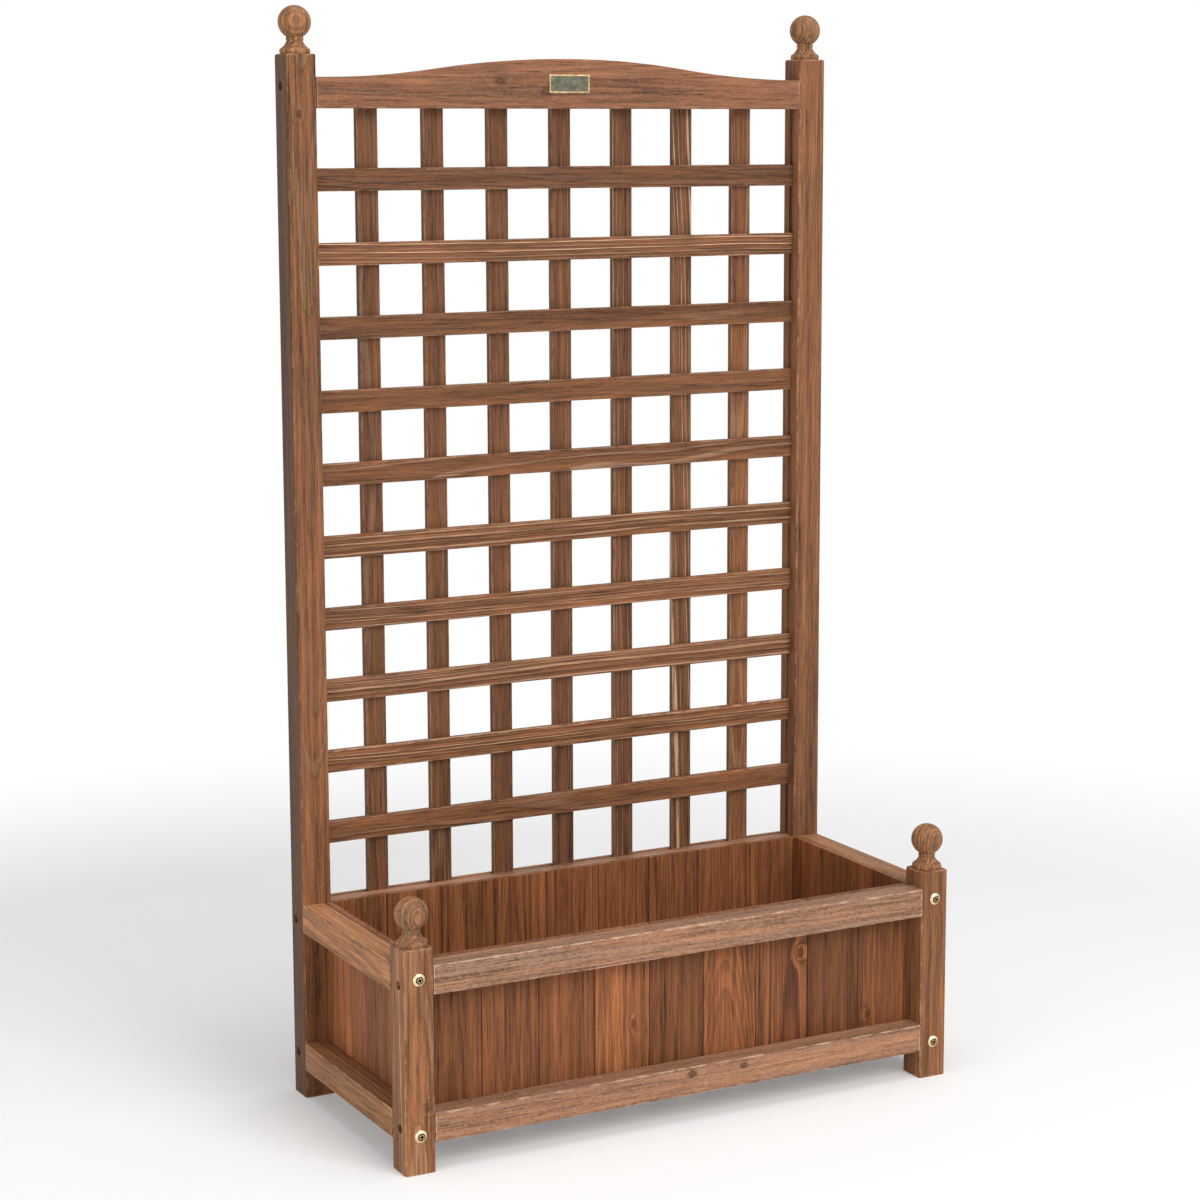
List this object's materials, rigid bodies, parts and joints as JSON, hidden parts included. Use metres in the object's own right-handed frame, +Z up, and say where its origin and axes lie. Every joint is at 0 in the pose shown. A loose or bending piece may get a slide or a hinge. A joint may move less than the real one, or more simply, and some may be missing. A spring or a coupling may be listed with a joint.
{
  "type": "trellis planter",
  "caption": "Boarded wooden planter box on corner posts, with a lattice for climbing plants between its taller back posts.",
  "frame": {"origin": "on the ground, under the middle of the planter, between its four feet", "axes": "+X to the planter's right as seen from the front, +Y to the back, where the lattice is, +Z up"},
  "size_m": [0.6849, 0.3184, 1.22],
  "materials": {
    "post_wood": "dark brown stained fir, brushed grain, matt",
    "rail_wood": "brown stained fir, worn pale arrises, matt",
    "board_wood": "brown stained fir boards, cathedral grain, matt",
    "lath_wood": "brown stained fir laths, raised grain, matt",
    "turned_wood": "turned and stained fir, satin",
    "plain_wood": "rough fir, thin stain, matt",
    "bolt_metal": "bright yellow zinc plate",
    "insert_metal": "zinc plate",
    "screw_metal": "dull dark plate",
    "plate_metal": "aged brass rim, dark green-grey field"
  },
  "bodies": {
    "root": {"blank_plate": "plate_metal", "board_front_01": "board_wood", "board_front_02": "board_wood", "board_front_03": "board_wood", "board_front_04": "board_wood", "board_front_05": "board_wood", "board_front_06": "board_wood", "board_front_07": "board_wood", "board_front_08": "board_wood", "board_front_closing": "board_wood", "board_left_01": "board_wood", "board_left_02": "board_wood", "board_left_03": "board_wood", "board_left_closing": "board_wood", "board_right_01": "board_wood", "board_right_02": "board_wood", "board_right_03": "board_wood", "board_right_closing": "board_wood", "boards_back": "board_wood", "cleat_back": "plain_wood", "cleat_front": "plain_wood", "finials": "turned_wood", "floor_boards": "plain_wood", "frame_bolts": "bolt_metal", "frame_screws": "screw_metal", "lath_cross_01": "lath_wood", "lath_cross_02": "lath_wood", "lath_cross_03": "lath_wood", "lath_cross_04": "lath_wood", "lath_cross_05": "lath_wood", "lath_cross_06": "lath_wood", "lath_cross_07": "lath_wood", "lath_cross_08": "lath_wood", "lath_cross_09": "lath_wood", "lath_cross_10": "lath_wood", "lath_upright_01": "lath_wood", "lath_upright_02": "lath_wood", "lath_upright_03": "lath_wood", "lath_upright_04": "lath_wood", "lath_upright_05": "lath_wood", "lath_upright_06": "lath_wood", "lath_upright_07": "lath_wood", "post_back_left": "post_wood", "post_back_right": "post_wood", "post_front_left": "post_wood", "post_front_right": "post_wood", "rail_back_bottom": "rail_wood", "rail_back_top": "rail_wood", "rail_crest": "rail_wood", "rail_front_bottom": "rail_wood", "rail_front_top": "rail_wood", "rail_inserts": "insert_metal", "rail_left_bottom": "rail_wood", "rail_left_top": "rail_wood", "rail_right_bottom": "rail_wood", "rail_right_top": "rail_wood"}
  },
  "joints": []
}
